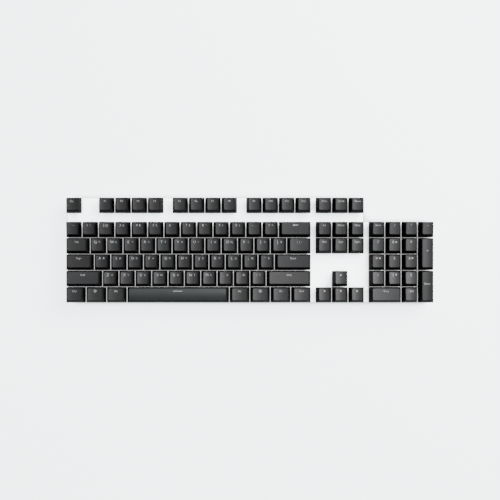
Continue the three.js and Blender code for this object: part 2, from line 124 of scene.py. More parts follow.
deck_low, deck_high = (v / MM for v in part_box("switch_plate"))
PLATE_TOP = deck_high.z
SKIRT = PLATE_TOP + 6  # lower edge of a released cap
HOUSING_TOP = PLATE_TOP + 6.6
WELL_BOTTOM = PLATE_TOP - 1.4
BOARD_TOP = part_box("circuit_board")[1].z / MM
TRAVEL = 4
SLIDER_BOTTOM = WELL_BOTTOM + TRAVEL + 0.3
SLIDER_TOP = HOUSING_TOP + 0.6
STABILISER_STEM_TOP = HOUSING_TOP + 1.4
random.seed(7)


# --- Materials ------------------------------------------------------------------------------
def new_material(name, colour, roughness, metallic=0.0):
    material = bpy.data.materials.new(name)
    material.use_nodes = True
    shader = material.node_tree.nodes["Principled BSDF"]
    shader.inputs["Base Color"].default_value = (*colour, 1)
    shader.inputs["Roughness"].default_value = roughness
    shader.inputs["Metallic"].default_value = metallic
    return material, material.node_tree, shader


def noise_node(tree, scale, detail=2.0, roughness=0.5):
    coordinates = tree.nodes.new("ShaderNodeTexCoord")
    noise = tree.nodes.new("ShaderNodeTexNoise")
    noise.inputs["Scale"].default_value = scale
    noise.inputs["Detail"].default_value = detail
    noise.inputs["Roughness"].default_value = roughness
    tree.links.new(coordinates.outputs["Object"], noise.inputs["Vector"])
    return noise.outputs["Fac"]


def spread(tree, value, low, high, start=0, end=1):
    """Goes from low to high as the value goes from start to end."""
    spreader = tree.nodes.new("ShaderNodeMapRange")
    spreader.inputs["From Min"].default_value = start
    spreader.inputs["From Max"].default_value = end
    spreader.inputs["To Min"].default_value = low
    spreader.inputs["To Max"].default_value = high
    tree.links.new(value, spreader.inputs["Value"])
    return spreader.outputs["Result"]


def scaled(tree, value, factor):
    """The product of two values or colours."""
    product = tree.nodes.new("ShaderNodeVectorMath")
    product.operation = "MULTIPLY"
    tree.links.new(value, product.inputs[0])
    tree.links.new(factor, product.inputs[1])
    return product.outputs["Vector"]


def mottled(tree, shader, value, colour, share):
    """Base colour that wanders by share about colour as value goes from 0 to 1."""
    ramp = tree.nodes.new("ShaderNodeValToRGB")
    ramp.color_ramp.elements[0].position = 0.3
    ramp.color_ramp.elements[1].position = 0.7
    for element, factor in zip(ramp.color_ramp.elements, (1 - share, 1 + share)):
        element.color = (*(c * factor for c in colour), 1)
    tree.links.new(value, ramp.inputs["Fac"])
    tree.links.new(ramp.outputs["Color"], shader.inputs["Base Color"])
    return ramp.outputs["Color"]


def bumped(tree, shader, height, distance):
    bump = tree.nodes.new("ShaderNodeBump")
    bump.inputs["Strength"].default_value = 1.0
    bump.inputs["Distance"].default_value = distance
    tree.links.new(height, bump.inputs["Height"])
    tree.links.new(bump.outputs["Normal"], shader.inputs["Normal"])


def textured(name, colour, roughness, grain_scale, grain_height, share=0.06, metallic=0.0):
    """Plastic, paint or rubber: a fine grain, uneven gloss and a faint drift of colour."""
    material, tree, shader = new_material(name, colour, roughness, metallic)
    mottled(tree, shader, noise_node(tree, 60, 3), colour, share)
    gloss = spread(tree, noise_node(tree, 400, 2), roughness - 0.05, roughness + 0.05)
    tree.links.new(gloss, shader.inputs["Roughness"])
    bumped(tree, shader, noise_node(tree, grain_scale, 2), grain_height)
    return material


KEYCAP_COLOUR = (0.0138, 0.014, 0.0145)


def keycap_material():
    """Moulded charcoal plastic: each cap has its own slight tone, and how far its surface is polished,
    held in the mesh. Painted shade darkens its colour and polish where caps stand close together, most
    on the walls between them."""
    material, tree, shader = new_material("keycap", KEYCAP_COLOUR, 0.45)
    tone = tree.nodes.new("ShaderNodeAttribute")
    tone.attribute_name = "tone"
    # painted shade: darkens the caps' colour and polish where they stand close together
    light = painted_shade_by_openness(tree, 0.012, (0.3, 0.75), (0.1, 1.0))
    colour = mottled(tree, shader, noise_node(tree, 90, 3), KEYCAP_COLOUR, 0.08)
    colour = scaled(tree, scaled(tree, colour, tone.outputs["Color"]), light)
    tree.links.new(colour, shader.inputs["Base Color"])
    polish = spread(tree, scaled(tree, tone.outputs["Alpha"], light), 0, 0.3)
    tree.links.new(polish, shader.inputs["Specular IOR Level"])
    gloss = spread(tree, noise_node(tree, 500, 2), 0.42, 0.5)
    tree.links.new(gloss, shader.inputs["Roughness"])
    bumped(tree, shader, noise_node(tree, 6000, 2), 0.00001)
    return material


# Painted light: the glow that pale surfaces give off though they are no lamps, how strong it is, and
# its tint.
PAINTED_GLOW_TINT = (0.9, 0.955, 1.0, 1)
PAINTED_OPEN_GLOW = (0.2, 3.8)  # from shaded to open
PAINTED_GAP_GLOW, PAINTED_ROW_GAP_GLOW = 0.54, 0.23  # between two keys of a row, and between two rows


def with_painted_glow(material):
    shader = material.node_tree.nodes["Principled BSDF"]
    # painted light: a glow though the surface is no lamp
    shader.inputs["Emission Color"].default_value = PAINTED_GLOW_TINT
    shader.inputs["Emission Strength"].default_value = 1
    return material


def painted_shade_by_openness(tree, distance, sky, output):
    """Goes across output as the share of sky that is open overhead goes across sky, to paint shade
    where things stand close around.
    """
    occlusion = tree.nodes.new("ShaderNodeAmbientOcclusion")
    occlusion.inputs["Distance"].default_value = distance
    return spread(tree, occlusion.outputs["AO"], *output, *sky)


def between_rows(tree):
    """1 where the deck lies between two rows of keys, 0 elsewhere: where the deck's painted shade is
    darkest.
    """
    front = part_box("key_space")[0].y - GAP * MM / 2
    number_row = sum(corner.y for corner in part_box("keys_grave_to_6")) / 2
    coordinates = tree.nodes.new("ShaderNodeTexCoord")
    place = tree.nodes.new("ShaderNodeSeparateXYZ")
    tree.links.new(coordinates.outputs["Object"], place.inputs["Vector"])
    value = place.outputs["Y"]
    steps = (("MINIMUM", number_row), ("SUBTRACT", front), ("PINGPONG", UNIT * MM / 2))
    for operation, number in steps:
        step = tree.nodes.new("ShaderNodeMath")
        step.operation = operation
        step.inputs[1].default_value = number
        tree.links.new(value, step.inputs[0])
        value = step.outputs["Value"]
    return spread(tree, value, 1, 0, 0.7 * MM, 1.1 * MM)


def deck_material():
    """Pale powder coat with a painted glow, though it is no lamp, and painted shade where keys stand
    close around it, more so between rows.
    """
    material = with_painted_glow(textured("plate", (0.8, 0.81, 0.82), 0.6, 3000, 0.00001, 0.01))
    tree = material.node_tree
    # painted glow where the deck is open, fading to painted shade where keys stand close around
    painted_open_glow = painted_shade_by_openness(tree, 0.012, (0.35, 0.8), PAINTED_OPEN_GLOW)
    field = tree.nodes.new("ShaderNodeAttribute")
    field.attribute_name = "tone"
    # painted shade: a dimmer glow in the gaps between keys, dimmest between rows
    painted_gap_glow = spread(tree, between_rows(tree), PAINTED_GAP_GLOW, PAINTED_ROW_GAP_GLOW)
    strength = tree.nodes.new("ShaderNodeMix")
    tree.links.new(painted_gap_glow, strength.inputs["A"])
    tree.links.new(field.outputs["Alpha"], strength.inputs["Factor"])
    tree.links.new(painted_open_glow, strength.inputs["B"])
    tint = tree.nodes.new("ShaderNodeMix")
    tint.data_type = "RGBA"
    tint.inputs["A"].default_value = (1, 1, 1, 1)
    tint.inputs["B"].default_value = PAINTED_GLOW_TINT
    tree.links.new(field.outputs["Alpha"], tint.inputs["Factor"])
    shader = tree.nodes["Principled BSDF"]
    tree.links.new(strength.outputs["Result"], shader.inputs["Emission Strength"])
    tree.links.new(tint.outputs["Result"], shader.inputs["Emission Color"])
    return material


def floor_material():
    material = with_painted_glow(textured("floor", (0.5, 0.505, 0.51), 0.8, 3000, 0, 0.01))
    tree = material.node_tree
    # an even painted glow for a bright backdrop, darkened into a painted shadow around the keyboard
    painted_floor_glow = painted_shade_by_openness(tree, 0.014, (0.5, 0.75), PAINTED_OPEN_GLOW)
    tree.links.new(painted_floor_glow, tree.nodes["Principled BSDF"].inputs["Emission Strength"])
    return material


MATERIALS = {
    "keycap": keycap_material(),
    "legend": textured("legend", (0.26, 0.265, 0.27), 0.6, 3000, 0.000004, 0.1),
    "plate": deck_material(),
    "tray": textured("tray", (0.2, 0.204, 0.21), 0.5, 2500, 0.00002, 0.03),
    "board": textured("board", (0.012, 0.03, 0.02), 0.35, 500, 0.00002, 0.2),
    "housing": textured("housing", (0.6, 0.61, 0.62), 0.3, 800, 0.000003, 0.03),
    "rubber": textured("rubber", (0.03, 0.03, 0.032), 0.85, 2200, 0.00003, 0.15),
    "steel": textured("steel", (0.55, 0.56, 0.57), 0.3, 1500, 0.000003, 0.05, 1.0),
}


# --- Mesh tools -----------------------------------------------------------------------------
class Shape:
    """Collects points in mm, faces and a tone for each face, for one mesh."""

    def __init__(self):
        self.points, self.faces, self.tones = [], [], []
        self.tone = (1.0, 1.0, 1.0, 1.0)

    def add(self, points):
        start = len(self.points)
        self.points += points
        return list(range(start, len(self.points)))

    def face(self, *corners):
        self.faces.append(corners)
        self.tones.append(self.tone)

    def skin(self, rings):
        """Quads between closed rings of equal length; counter-clockwise rings going up face out."""
        for lower, upper in zip(rings, rings[1:]):
            for i, corner in enumerate(lower):
                j = (i + 1) % len(lower)
                self.face(corner, lower[j], upper[j], upper[i])

    def capped(self, rings):
        """A closed solid of rings, with a face at each end."""
        self.skin(rings)
        self.face(*reversed(rings[0]))
        self.face(*rings[-1])

    def piece(self, name, slot, body, replaces=(), smooth=True):
        mesh = bpy.data.meshes.new(name)
        mesh.from_pydata([(x * MM, y * MM, z * MM) for x, y, z in self.points], [], self.faces)
        tones = mesh.color_attributes.new("tone", "FLOAT_COLOR", "CORNER")
        values = [c for f, tone in zip(self.faces, self.tones) for _ in f for c in tone]
        tones.data.foreach_set("color", values)
        if smooth:
            mesh.shade_smooth()
        return finished_piece(name, mesh, slot, body, replaces)


def finished_piece(name, mesh, slot, body, replaces=()):
    mesh.materials.clear()
    mesh.materials.append(MATERIALS[slot])
    piece = bpy.data.objects.new(name, mesh)
    bpy.context.scene.collection.objects.link(piece)
    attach(piece, body)
    if replaces:
        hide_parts(*replaces)
    return piece


def lerp(a, b, t):
    return tuple(p + (q - p) * t for p, q in zip(a, b))


def rounded_outline(cx, cy, hx, hy, radius, nx, ny, half=3):
    """A rounded rectangle, counter-clockwise from the middle of its front-left corner: nx steps
    along the front and rear, ny along the sides, and half of them for half of each corner."""
    points = []
    for along, out, length, depth, steps in (
        ((1, 0), (0, -1), hx, hy, nx),
        ((0, 1), (1, 0), hy, hx, ny),
        ((-1, 0), (0, 1), hx, hy, nx),
        ((0, -1), (-1, 0), hy, hx, ny),
    ):
        straight = steps - 2 * half
        for k in range(steps):
            if k < half:
                turn = math.radians(-45 * (1 - k / half))
                s, d = -length + radius, depth - radius
            elif k <= half + straight:
                turn = 0
                s = (length - radius) * (2 * (k - half) / straight - 1)
                d = depth - radius
            else:
                turn = math.radians(45 * (k - half - straight) / half)
                s, d = length - radius, depth - radius
            s += radius * math.sin(turn)
            d += radius * math.cos(turn)
            points.append((cx + along[0] * s + out[0] * d, cy + along[1] * s + out[1] * d))
    return points


def ring_at(outline, z):
    return [(x, y, z) for x, y in outline]


def patch(shape, ring, nx, ny, height):
    """Fills a ring made by rounded_outline with an even grid that follows height(x, y)."""
    points = [shape.points[i] for i in ring]
    count = len(ring)
    front, right = list(range(nx + 1)), list(range(nx, nx + ny + 1))
    rear = [(2 * nx + ny - i) % count for i in range(nx + 1)]
    left = [(count - j) % count for j in range(ny + 1)]
    grid = {}
    for i in range(nx + 1):
        grid[i, 0], grid[i, ny] = ring[front[i]], ring[rear[i]]
    for j in range(ny + 1):
        grid[0, j], grid[nx, j] = ring[left[j]], ring[right[j]]
    by_axis = [[point[axis] for point in points] for axis in (0, 1)]
    for i in range(1, nx):
        for j in range(1, ny):
            u, v = i / nx, j / ny
            place = []
            for at in by_axis:
                edges = (1 - v) * at[front[i]] + v * at[rear[i]]
                edges += (1 - u) * at[left[j]] + u * at[right[j]]
                corners = (1 - u) * (1 - v) * at[0] + u * (1 - v) * at[nx]
                corners += u * v * at[nx + ny] + (1 - u) * v * at[rear[0]]
                place.append(edges - corners)
            grid[i, j] = shape.add([(*place, height(*place))])[0]
    for i in range(nx):
        for j in range(ny):
            shape.face(grid[i, j], grid[i + 1, j], grid[i + 1, j + 1], grid[i, j + 1])


def rounded_block(shape, x, y, width, depth, z0, z1, corner, edge=0.2):
    """A closed block with round corners and softened upper and lower edges."""
    nx = ny = 8
    turns = [t * math.pi / 2 for t in (0.0, 0.5, 1.0)]
    softening = [(edge * (1 - math.cos(a)), edge * (1 - math.sin(a))) for a in turns]
    levels = [(z0 + rise, inset) for rise, inset in softening]
    levels += [(z1 - rise, inset) for rise, inset in reversed(softening)]
    rings = []
    for z, inset in levels:
        hx, hy = width / 2 - inset, depth / 2 - inset
        outline = rounded_outline(x, y, hx, hy, max(corner - inset, 0.05), nx, ny)
        rings.append(shape.add(ring_at(outline, z)))
    shape.capped(rings)


def circle(x, y, z, radius, sides=24):
    turns = [2 * math.pi * k / sides for k in range(sides)]
    return [(x + radius * math.cos(a), y + radius * math.sin(a), z) for a in turns]


def cross(x, y, z, arm, width, sides=24):
    """A cross of four arms of one width, whose corners pair up with those of a circle."""
    corners = []
    for k in range(sides):
        a = 2 * math.pi * k / sides
        c, s = math.cos(a), math.sin(a)
        narrow, wide = sorted((abs(c), abs(s)))
        on_arm = wide > 0.8
        r = min(arm, width / 2 / max(narrow, 1e-6)) if on_arm else width * 0.7
        corners.append((x + r * c, y + r * s, z))
    return corners


# --- Keys -----------------------------------------------------------------------------------
class Key:
    """One key: its cell, its cap's outline and its top face."""

    def __init__(self, profile, units, x, y, depth, legend):
        self.height, lean, self.mould, self.legend_y, self.polish = PROFILES[profile]
        self.slope = math.tan(math.radians(lean))
        self.units, self.x, self.y, self.legend = units, x, y, legend
        self.hx, self.hy = (units * UNIT - GAP) / 2, depth / 2
        self.top_hx = self.hx - SIDE_INSET
        self.top_hy = self.hy - (FRONT_INSET + REAR_INSET) / 2
        self.top_y = y + (FRONT_INSET - REAR_INSET) / 2
        self.is_space = units > 6
        self.is_tall = profile == "tall"

    def top(self, x, y):
        """Height of the top face above the desk."""
        across = (x - self.x) / self.top_hx
        along = (y - self.top_y) / self.top_hy
        z = SKIRT + self.height + self.slope * (y - self.top_y)
        if self.is_space:
            return z - SPACE_CROWN * along * along
        return z - DISH * (1 - across * across)

    def stems(self):
        """Places of its slider and stabiliser stems, and the height of each one's shoulder."""
        stabilisers = [(x, y, STABILISER_STEM_TOP) for x, y, _ in self.stabilisers()]
        return [(self.x, self.y, SLIDER_TOP), *stabilisers]

    def stabilisers(self):
        """Places of its stabiliser housings, and whether one stands behind the other."""
        if self.is_tall:
            return [(self.x, self.y + s * STABILISER_REACH, True) for s in (-1, 1)]
        if self.units < 2:
            return []
        reach = SPACE_STABILISER_REACH if self.is_space else STABILISER_REACH
        return [(self.x + s * reach, self.y, False) for s in (-1, 1)]


def keys_of(body):
    profile, widths, legends = BLOCKS[body]
    low, high = (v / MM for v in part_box(body))
    keys, left = [], low.x - GAP / 2
    for units, legend in zip(widths, legends):
        x = left + units * UNIT / 2
        keys.append(Key(profile, units, x, (low.y + high.y) / 2, high.y - low.y, legend))
        left += units * UNIT
    return keys


EDGE = 0.55  # radius of the round between a cap's walls and its top
SKIRT_CORNER, TOP_CORNER = 0.6, 1.9
LIP = 0.12  # the softening of the skirt's lower edges
WALL = 1.45
CEILING = 2.2  # below the top face
MATT = 0.0105  # polish of a cap's walls
# Painted shade: the walls' colour is darker than the top's, though both are one plastic.
WALL_PAINTED_SHADE = 0.6  # tone of a cap's walls, where its top's is 1
TONE_SPREAD = 0.05  # from cap to cap
STEM_LENGTH = 3.4
STEM_ARM, STEM_WIDTH = 2.0, 1.25
POST_RADIUS = 2.75


def add_cap(shape, key):
    """A hollow cap: rings from its ceiling down inside, round the skirt's edge and up outside,
    closed by the dished top, and the posts inside."""
    nx = 14 + 4 * round(2 * (key.units - 1)) if not key.is_space else 60
    ny = 30 if key.is_tall else 14
    # the row's painted light, and a random tone for each cap
    mould = key.mould + random.uniform(-TONE_SPREAD, TONE_SPREAD)
    tint = tuple(mould + random.uniform(-TONE_SPREAD, TONE_SPREAD) for _ in range(3))
    # painted shade: the walls darker than the top, though both are one plastic
    painted_shade_wall_tone = (*(WALL_PAINTED_SHADE * t for t in tint), MATT)
    shape.tone = painted_shade_wall_tone

    def outline(inset, share, corner):
        hx = key.hx - share * SIDE_INSET - inset
        y0 = key.y - key.hy + share * FRONT_INSET + inset
        y1 = key.y + key.hy - share * REAR_INSET - inset
        return rounded_outline(key.x, (y0 + y1) / 2, hx, (y1 - y0) / 2, corner, nx, ny)

    base = ring_at(outline(0, 0, SKIRT_CORNER), SKIRT)
    top = [(x, y, key.top(x, y)) for x, y in outline(0, 1, TOP_CORNER)]
    rim = [(x, y, key.top(x, y)) for x, y in outline(EDGE, 1, 1.5)]
    rings = []
    ceiling = key.height - CEILING - key.top_hy * abs(key.slope)
    for share, height in ((ceiling / key.height, ceiling), (0.02, 0.15)):
        rings.append(ring_at(outline(WALL, share, 0.6), SKIRT + height))
    rings.append(ring_at(outline(WALL - LIP, 0, 0.7), SKIRT))
    rings.append(ring_at(outline(LIP, 0, 0.8), SKIRT))
    for share in (0.015, 0.3, 0.65):
        bulge = 0.1 * math.sin(math.pi * share)
        ring = [lerp(b, t, share) for b, t in zip(base, top)]
        rings.append([(x + (x - key.x) / key.hx * bulge, y, z) for x, y, z in ring])
    edges = [(b, t, r, min(EDGE / math.dist(b, t), 0.3)) for b, t, r in zip(base, top, rim)]
    starts = [lerp(t, b, reach) for b, t, _, reach in edges]
    rings.append(starts)
    for s in (0.25, 0.5, 0.75):
        rings.append([lerp(lerp(a, t, s), lerp(t, r, s), s) for a, (_, t, r, _) in zip(starts, edges)])
    rings.append(rim)
    made = [shape.add(ring) for ring in rings]
    shape.skin(made)
    shape.face(*reversed(made[0]))
    shape.tone = (*tint, key.polish)
    patch(shape, made[-1], nx, ny, key.top)
    shape.tone = painted_shade_wall_tone
    for x, y, stem in key.stems():
        add_post(shape, x, y, stem, SKIRT + ceiling + 0.3)


def add_post(shape, x, y, stem, top):
    """The round post inside a cap, with a cross-shaped socket that the stem goes up into."""
    fit = 0.08
    levels = (stem + STEM_LENGTH + 0.2, stem + 0.1)
    socket = [cross(x, y, z, STEM_ARM + fit, STEM_WIDTH + 2 * fit) for z in levels]
    rounds = ((stem + 0.1, POST_RADIUS - 0.2), (stem + 0.3, POST_RADIUS), (top, POST_RADIUS))
    shape.capped([shape.add(r) for r in (*socket, *(circle(x, y, z, r) for z, r in rounds))])


def add_stem(shape, x, y, base):
    """The cross on top of a slider, which its cap is pushed onto."""
    levels = ((base - 0.3, 0), (base + STEM_LENGTH - 0.3, 0), (base + STEM_LENGTH, 0.2))
    shape.capped([shape.add(cross(x, y, z, STEM_ARM - e, STEM_WIDTH - e)) for z, e in levels])


def add_slider(shape, key):
    """The slider of a key's switch, and the narrower ones of its stabilisers."""
    for x, y, top in key.stems():
        width, depth = (6.4, 5.0) if top == SLIDER_TOP else (4.0, 4.0)
        rounded_block(shape, x, y, width, depth, SLIDER_BOTTOM, top, 0.4)
        add_stem(shape, x, y, top)


# --- Legends --------------------------------------------------------------------------------
LETTER = 3.1  # height of a capital letter
SMALL_LETTER = 2.1
WORD = 2.3
CAPITAL_SHARE = 0.728  # of the font's size
RAISED, SUNK = 0.03, 0.06
SLICE = 0.7  # of a legend, so that it bends with the cap's top


def text_polygons(text, height):
    """The letters' points and flat faces."""
    curve = bpy.data.curves.new("text", "FONT")
    curve.body = text
    curve.size = height / CAPITAL_SHARE
    curve.offset = -0.012 * curve.size  # the print is a light face
    curve.resolution_u = 3
    holder = bpy.data.objects.new("text", curve)
    bpy.context.scene.collection.objects.link(holder)
    bpy.context.view_layer.update()
    mesh = holder.evaluated_get(bpy.context.evaluated_depsgraph_get()).to_mesh()
    points = [tuple(v.co.xy) for v in mesh.vertices]
    faces = [tuple(p.vertices) for p in mesh.polygons]
    bpy.data.objects.remove(holder)
    bpy.data.curves.remove(curve)
    return points, faces


def polygon(*points):
    return list(points), [tuple(range(len(points)))]


def mark_polygons(name, size):
    """A drawn mark about its middle: arrows, the space bar's line, and a plain ring."""
    h = size / 2
    triangles = {
        "up": polygon((-h, -h), (h, -h), (0, h)),
        "down": polygon((-h, h), (0, -h), (h, h)),
        "left": polygon((h, -h), (h, h), (-h, 0)),
        "right": polygon((-h, -h), (h, 0), (-h, h)),
        "bar": polygon((-5.2, -0.22), (5.2, -0.22), (5.2, 0.22), (-5.2, 0.22)),
    }
    if name in triangles:
        return triangles[name]
    if name == "back":
        points, _ = polygon((-3, 0), (-1.2, -1.1), (-1.2, 1.1))
        shaft, _ = polygon((-1.2, -0.35), (3.2, -0.35), (3.2, 0.35), (-1.2, 0.35))
        return points + shaft, [(0, 1, 2), (3, 4, 5, 6)]
    steps = 24  # super: a ring with a dot in it
    points, faces = [], []
    for k in range(steps):
        a = 2 * math.pi * k / steps
        points += [(r * math.cos(a), r * math.sin(a)) for r in (1.55, 1.2, 0.45)]
        n = (k + 1) % steps
        faces.append((3 * k, 3 * n, 3 * n + 1, 3 * k + 1))
    faces.append(tuple(3 * k + 2 for k in range(steps)))
    return points, faces


def centred(points, x, y, keep_height=False):
    xs, ys = [p[0] for p in points], [p[1] for p in points]
    dx = x - (min(xs) + max(xs)) / 2
    dy = y if keep_height else y - (min(ys) + max(ys)) / 2
    return [(px + dx, py + dy) for px, py in points]


def layout(key):
    """Each part of a key's legend: text or mark, height, and its middle from the key's middle."""
    legend, y = key.legend, key.legend_y
    if "~" in legend and legend != "`^~":
        large, small = legend.split("~")
        return [(large, LETTER, -1.6, y), (small, SMALL_LETTER, 2.9, y - 0.1)]
    parts = legend.split("^")
    if len(parts) == 1:
        size = LETTER if len(legend) == 1 else WORD
        return [(legend, size, 0.2, y)]
    if len(parts) == 2:
        return [(parts[0], 2.9, -1.4, y), (parts[1], 2.7, 2.1, y)]
    return [(part, 2.6, 2.4 * (i - 1), y) for i, part in enumerate(parts)]


def add_legend(shape, key):
    for text, size, x, y in layout(key):
        if text.startswith("<"):
            points, faces = mark_polygons(text.strip("<>"), 2.0)
            points = centred(points, x, y)
        else:
            points, faces = text_polygons(text, size)
            points = centred(points, x, y - size / 2, keep_height=True)
        flat = bmesh.new()
        corners = [flat.verts.new((px, py, 0)) for px, py in points]
        for face in faces:
            try:
                flat.faces.new([corners[i] for i in face])
            except ValueError:
                continue  # the font repeats a triangle
        loose = [v for v in flat.verts if not v.link_faces]
        bmesh.ops.delete(flat, geom=loose, context="VERTS")
        left, right = (f(v.co.x for v in flat.verts) for f in (min, max))
        for k in range(1, math.ceil((right - left) / SLICE)):
            geometry = flat.verts[:] + flat.edges[:] + flat.faces[:]
            place = (left + k * SLICE, 0, 0)
            bmesh.ops.bisect_plane(flat, geom=geometry, plane_co=place, plane_no=(1, 0, 0))
        bmesh.ops.triangulate(flat, faces=flat.faces[:])
        flat.normal_update()
        if sum(f.normal.z for f in flat.faces) < 0:
            bmesh.ops.reverse_faces(flat, faces=flat.faces[:])
        add_print(shape, key, flat)
        flat.free()


def add_print(shape, key, flat):
    """Gives a flat legend its thickness and lays it on the cap."""
    flat.verts.index_update()
    places = [(key.x + v.co.x, key.y + v.co.y) for v in flat.verts]
    upper = shape.add([(x, y, key.top(x, y) + RAISED) for x, y in places])
    lower = shape.add([(x, y, key.top(x, y) - SUNK) for x, y in places])
    for face in flat.faces:
        corners = [v.index for v in face.verts]
        shape.face(*(upper[i] for i in corners))
        shape.face(*(lower[i] for i in reversed(corners)))
        for loop in face.loops:
            if len(loop.edge.link_faces) == 1:
                a, b = loop.vert.index, loop.link_loop_next.vert.index
                shape.face(upper[b], upper[a], lower[a], lower[b])


ALL_KEYS = {body: keys_of(body) for body in BLOCKS}
for body, keys in ALL_KEYS.items():
    caps, prints, sliders = Shape(), Shape(), Shape()
    for key in keys:
        add_cap(caps, key)
        add_legend(prints, key)
        add_slider(sliders, key)
    caps.piece(f"caps_{body}", "keycap", body, [body])
    prints.piece(f"legends_{body}", "legend", body, smooth=False)
    sliders.piece(f"sliders_{body}", "housing", body)


# --- Switches and stabilisers ---------------------------------------------------------------
def add_housing(shape, x, y, levels, well):
    """A housing that rises through levels of half width, half depth, height over the plate and
    corner radius, with a square-edged well of the given half width and half depth down into it."""
    n = 8
    outlines = [(rounded_outline(x, y, hx, hy, r, n, n), PLATE_TOP + z) for hx, hy, z, r in levels]
    mouth = rounded_outline(x, y, *well, 0.3, n, n)
    outlines += [(mouth, outlines[-1][1]), (mouth, WELL_BOTTOM)]
    shape.capped([shape.add(ring_at(outline, z)) for outline, z in outlines])


# Half width, height over the plate and corner radius, from the board up.
SWITCH_LEVELS = (
    (6.8, BOARD_TOP - PLATE_TOP, 0.8),
    (6.8, 0.02, 0.8),
    (7.8, 0.02, 0.8),
    (7.8, 0.75, 0.8),
    (7.65, 0.9, 0.8),
    (6.75, 1.0, 0.6),
    (5.5, 6.4, 0.8),
    (5.3, 6.6, 0.7),
)


def add_switch(shape, key):
    """A switch housing: a stem through the plate, a flange on it, tapering sides and a well."""
    levels = [(h, h, z, r) for h, z, r in SWITCH_LEVELS]
    add_housing(shape, key.x, key.y, levels, (3.6, 2.9))


def add_stabiliser(shape, x, y, turned):
    hx, hy = (6.1, 3.1) if turned else (3.1, 6.1)
    levels = [(hx, hy, z, 0.6) for z in (BOARD_TOP - PLATE_TOP, 3.5)]
    levels.append((hx - 0.3, hy - 0.3, 3.8, 0.4))
    add_housing(shape, x, y, levels, (2.4, 2.4))


MAIN_END, NAVIGATION_END = 80, 136  # between the clusters of keys, from left to right


def cluster_of(profile, x):
    if profile == "function":
        return "function"
    if x < MAIN_END:
        return "main"
    return "navigation" if x < NAVIGATION_END else "number_pad"


for name in ("function", "main", "navigation", "number_pad"):
    housings = Shape()
    for body, keys in ALL_KEYS.items():
        for key in keys:
            if cluster_of(BLOCKS[body][0], key.x) == name:
                add_switch(housings, key)
                for place in key.stabilisers():
                    add_stabiliser(housings, *place)
    housings.piece(f"switches_{name}", "housing", "base", [f"switch_housings_{name}"])

# Rectangles of the deck under keys, each from one body's near left corner to another's far right,
# where its painted glow is dimmed into painted shade.
FIELDS = (
    ("key_escape", "key_escape"),
    ("keys_f1_to_f4", "keys_f1_to_f4"),
    ("keys_f5_to_f8", "keys_f5_to_f8"),
    ("keys_f9_to_f12", "keys_f9_to_f12"),
    ("keys_print_to_pause", "keys_print_to_pause"),
    ("key_left_ctrl", "key_backspace"),
    ("keys_delete_to_page_down", "keys_insert_to_page_up"),
    ("key_left", "key_right"),
    ("key_down", "key_up"),
    ("key_num_0", "keys_num_lock_to_minus"),
)
FIELD_INSET = 0.4  # of a field's sides from the caps' outline
TRAY_INSET = 0.4  # of the tray's sides from the caps' outline


def softened(name, width, chosen=lambda edge: True, segments=2):
    """A copy of a CAD solid, in metres, with its sharp edges, or the chosen ones, rounded off."""
    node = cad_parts[name]
    solid = bmesh.new()
    solid.from_mesh(node.data)
    solid.transform(node.matrix_world)
    bmesh.ops.remove_doubles(solid, verts=solid.verts[:], dist=1e-7)
    flat = math.radians(2)
    bmesh.ops.dissolve_limit(solid, angle_limit=flat, verts=solid.verts[:], edges=solid.edges[:])
    sharp = [e for e in solid.edges if e.is_manifold and e.calc_face_angle() > math.radians(40)]
    options = {"segments": segments, "profile": 0.5, "affect": "EDGES", "clamp_overlap": True}
    bmesh.ops.bevel(solid, geom=[e for e in sharp if chosen(e)], offset=width * MM, **options)
    bmesh.ops.triangulate(solid, faces=solid.faces[:])
    return solid


def add_softened(name, slot, body="base", width=0.3, **choice):
    solid = softened(name, width, **choice)
    mesh = bpy.data.meshes.new(name)
    solid.to_mesh(mesh)
    solid.free()
    finished_piece(f"{name}_softened", mesh, slot, body, [name])


def add_deck():
    """The deck, marked in its mesh where fields of it lie under keys and take the dimmer painted glow
    of painted shade.
    """
    inset = Vector((FIELD_INSET, FIELD_INSET)) * MM
    fields = [(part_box(first)[0].xy + inset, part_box(last)[1].xy - inset) for first, last in FIELDS]
    deck = softened("switch_plate", 0.3)
    for corner in (c for field in fields for c in field):
        for normal in ((1, 0, 0), (0, 1, 0)):
            parts = deck.verts[:] + deck.edges[:] + deck.faces[:]
            bmesh.ops.bisect_plane(deck, geom=parts, plane_co=(*corner, 0), plane_no=normal)
    bmesh.ops.triangulate(deck, faces=[f for f in deck.faces if len(f.verts) > 3])
    tone = deck.loops.layers.float_color.new("tone")
    for face in deck.faces:
        x, y = face.calc_center_median().xy
        inside = any(a.x < x < b.x and a.y < y < b.y for a, b in fields)
        for loop in face.loops:
            loop[tone] = (1, 1, 1, 0 if inside else 1)
    mesh = bpy.data.meshes.new("deck")
    deck.to_mesh(mesh)
    deck.free()
    finished_piece("deck", mesh, "plate", "base", ["switch_plate"])


def on_outline(edge):
    """Whether an edge of the tray is one of its outer corners or runs round its underside."""
    low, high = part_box("base_tray")
    inset = TRAY_INSET * MM
    step_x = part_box("keys_print_to_pause")[1].x - inset
    step_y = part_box("key_backspace")[1].y - inset
    planes = (low.x, high.x, step_x), (low.y, high.y, step_y)
    ends = [v.co for v in edge.verts]
    lies_in = [any(all(abs(end[a] - p) < 1e-5 for end in ends) for p in planes[a]) for a in (0, 1)]
    if all(abs(end.z - low.z) < 1e-5 for end in ends):
        return any(lies_in)
    return all(lies_in) and abs(ends[0].z - ends[1].z) > 0.008


